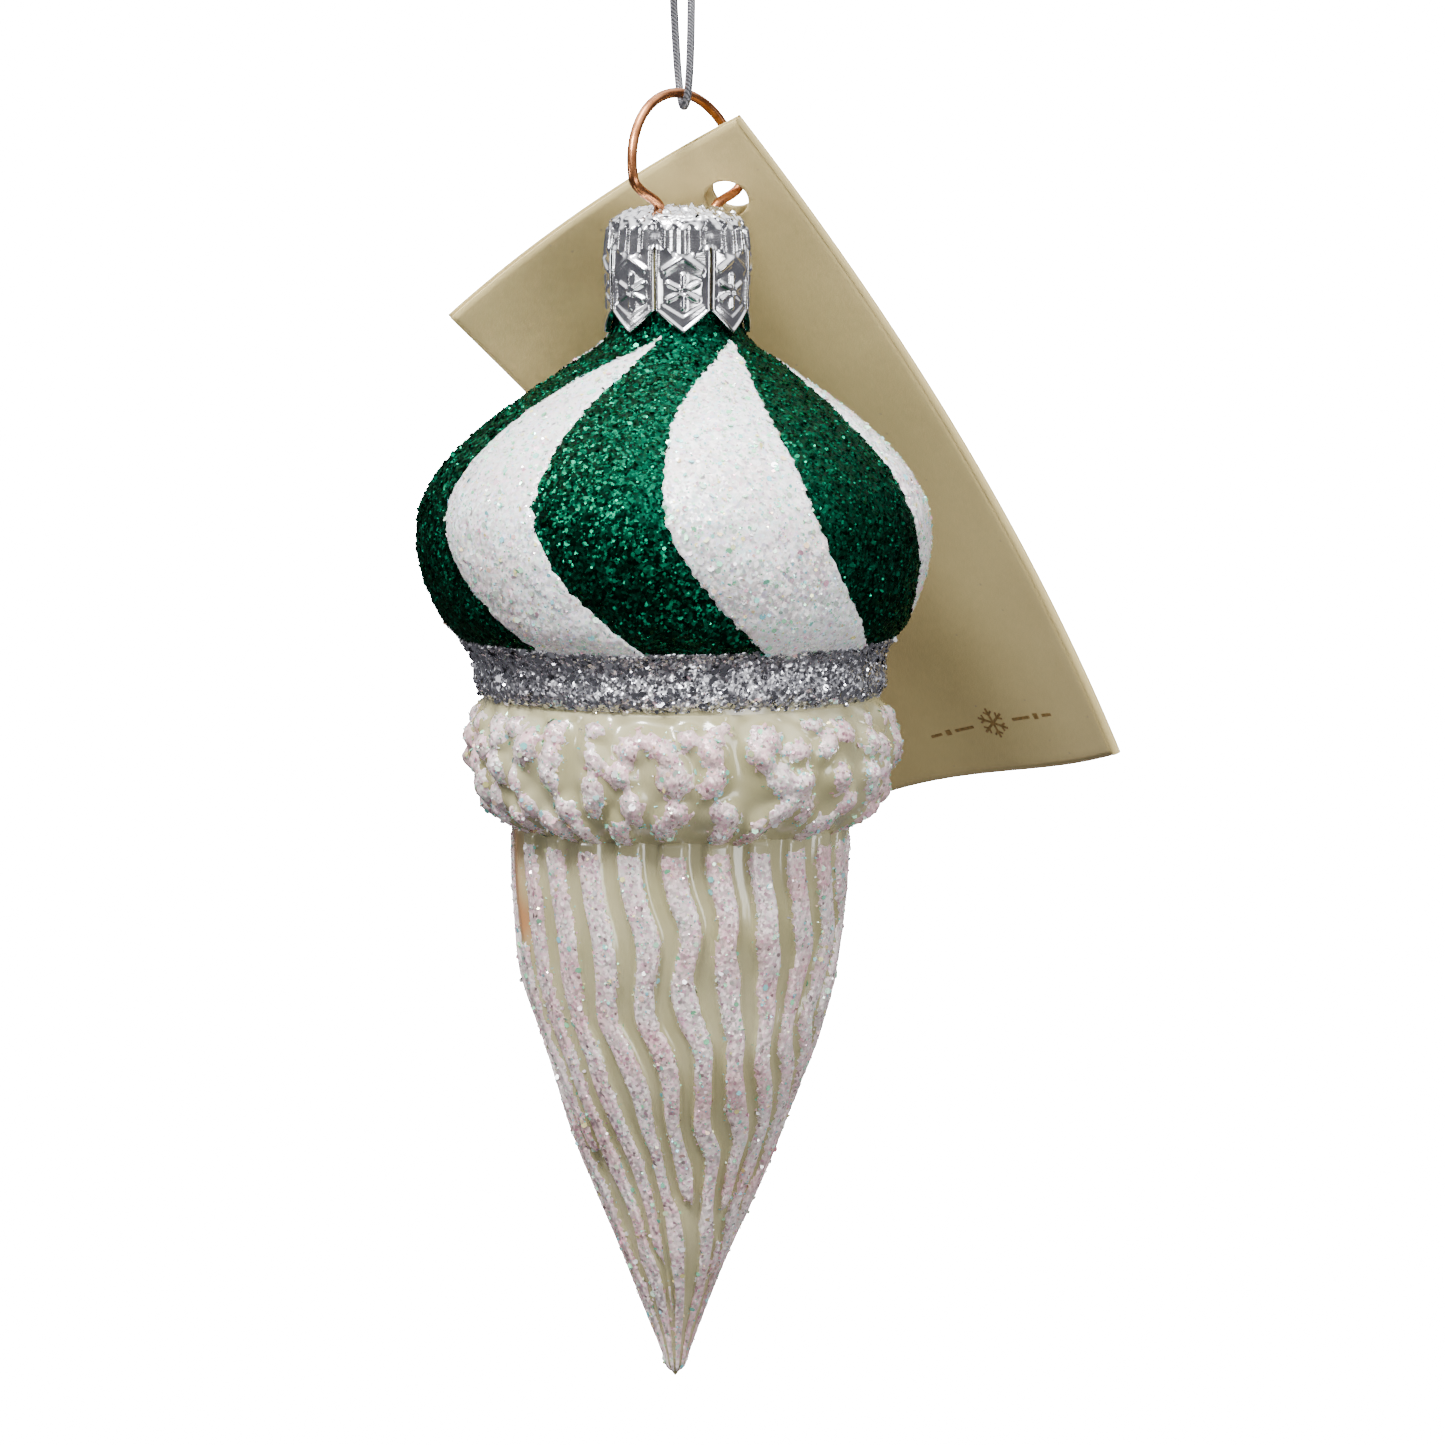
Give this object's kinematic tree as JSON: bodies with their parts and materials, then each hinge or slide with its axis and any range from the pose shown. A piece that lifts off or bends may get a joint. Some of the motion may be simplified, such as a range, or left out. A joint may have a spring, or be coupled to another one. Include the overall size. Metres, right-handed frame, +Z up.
{
  "type": "icicle hanging ornament",
  "caption": "Blown glass hanging ornament: glitter-striped onion dome over a rolled ruffle and a ribbed icicle, with crown cap, wire ring, thread loop and folded tag.",
  "frame": {"origin": "inside of the thread loop's top, where a hook or twig carries the ornament", "axes": "+Z up along the ornament's axis; the tag hangs on the +Y side and the front is -Y"},
  "size_m": [0.0716, 0.0717, 0.149],
  "materials": {
    "thread": "silky metallic grey thread",
    "copper_wire": "polished copper-brown wire",
    "silver_foil": "bright embossed foil",
    "pearl_glass": "glossy pearl olive-cream lacquer on glass",
    "white_glitter": "iridescent white glitter",
    "green_glitter": "emerald glitter",
    "silver_glitter": "silver glitter",
    "frost_glitter": "white and pink iridescent glitter",
    "card": "matt khaki card"
  },
  "bodies": {
    "hanger": {"hanger_cord": "thread", "hanger_knot": "thread"},
    "wire": {"wire_ring": "copper_wire"},
    "cap": {"crown_cap": "silver_foil"},
    "glass": {"glass_body": "pearl_glass", "white_glitter_stripes": "white_glitter", "green_glitter_stripes": "green_glitter", "silver_glitter_band": "silver_glitter", "ruffle_glitter": "frost_glitter", "ridge_glitter": "frost_glitter"},
    "tag": {"tag_back_cover": "card"},
    "cover": {"tag_front_cover": "card"}
  },
  "joints": [
    {"name": "hanger_swing", "type": "hinge", "parent": "hanger", "child": "wire", "pos_m": [0.00063, 0.00143, -0.01904], "axis": [0.6428, 0.766, 0], "range_deg": [-45, 45]},
    {"name": "wire_pull", "type": "slide", "parent": "wire", "child": "cap", "axis": [0, 0, -1], "range_m": [0, 0.005]},
    {"name": "cap_pull", "type": "slide", "parent": "cap", "child": "glass", "axis": [0, 0, -1], "range_m": [0, 0.016]},
    {"name": "tag_swing", "type": "hinge", "parent": "wire", "child": "tag", "pos_m": [0.00576, 0.00546, -0.0286], "axis": [0.8914, -0.4532, 0], "range_deg": [0, 30]},
    {"name": "tag_fold", "type": "hinge", "parent": "tag", "child": "cover", "pos_m": [0.00578, 0.00121, -0.02141], "axis": [0.5073, 0.2343, -0.8293], "range_deg": [0, 15]}
  ]
}
